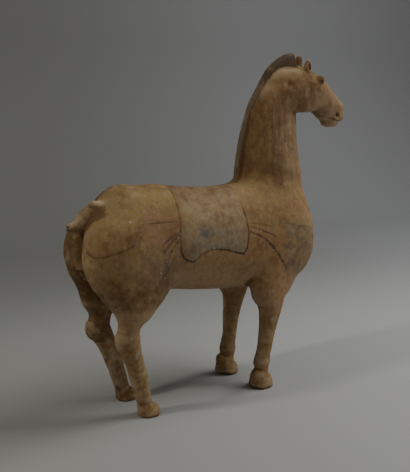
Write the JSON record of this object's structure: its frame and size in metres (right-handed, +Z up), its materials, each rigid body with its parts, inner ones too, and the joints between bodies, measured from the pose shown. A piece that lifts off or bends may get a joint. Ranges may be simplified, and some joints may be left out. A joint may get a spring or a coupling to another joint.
{
  "type": "tomb horse figure",
  "caption": "Standing tomb horse of painted earthenware: long upright neck, roached mane, small wedge head, barrel body with a painted saddle blanket, short tail stub with an empty socket",
  "frame": {"origin": "middle of the footprint box, on the ground the horse stands on", "axes": "+X to the head, +Y to the horse's left, +Z up"},
  "size_m": [0.5356, 0.1382, 0.5492],
  "materials": {
    "earthenware": "unglazed fired clay with worn paint and tomb earth, matt"
  },
  "bodies": {
    "root": {"horse": "earthenware"}
  },
  "joints": []
}
